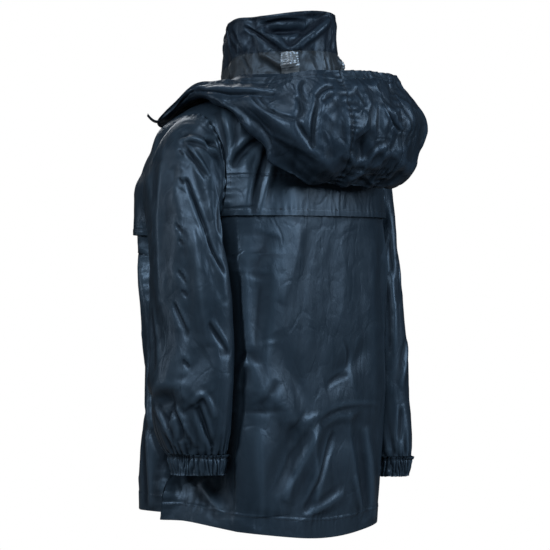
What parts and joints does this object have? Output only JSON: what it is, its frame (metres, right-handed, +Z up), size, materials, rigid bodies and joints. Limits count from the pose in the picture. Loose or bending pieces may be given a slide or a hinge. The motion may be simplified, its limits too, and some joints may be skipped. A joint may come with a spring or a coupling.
{
  "type": "child's hooded raincoat",
  "caption": "Child's hooded raincoat, filled out as worn and empty inside, with a yoke flap, a storm flap, gathered cuffs, a stand collar and the hood hanging at the back.",
  "frame": {"origin": "centre of the neck opening at the height of the back neck seam, where the wearer's neck and shoulders hold the coat", "axes": "+Z up, along the coat's length; -Y to the wearer's front; +X to the wearer's left"},
  "size_m": [0.4172, 0.3289, 0.6769],
  "materials": {
    "navy_cloth": "satin coated nylon",
    "hood_cloth": "satin coated nylon, a little lighter",
    "coated_grey": "coated side outward, glossy",
    "tape": "matte woven tape",
    "stud": "satin"
  },
  "bodies": {
    "root": {"back_panel": "navy_cloth", "back_yoke": "navy_cloth", "collar_lower": "coated_grey", "collar_upper": "navy_cloth", "cuff_left": "navy_cloth", "cuff_right": "navy_cloth", "front_left": "navy_cloth", "front_right": "navy_cloth", "front_yoke_left": "navy_cloth", "front_yoke_right": "navy_cloth", "hood_centre": "hood_cloth", "hood_centre_lower": "hood_cloth", "hood_edge_elastic": "navy_cloth", "hood_side_left": "hood_cloth", "hood_side_right": "hood_cloth", "hood_tape_left": "tape", "hood_tape_right": "tape", "sleeve_left_back": "navy_cloth", "sleeve_left_front": "navy_cloth", "sleeve_right_back": "navy_cloth", "sleeve_right_front": "navy_cloth", "storm_flap": "navy_cloth", "stud_1": "stud", "stud_2": "stud", "stud_3": "stud", "stud_4": "stud", "stud_5": "stud", "stud_6": "stud"}
  },
  "joints": []
}
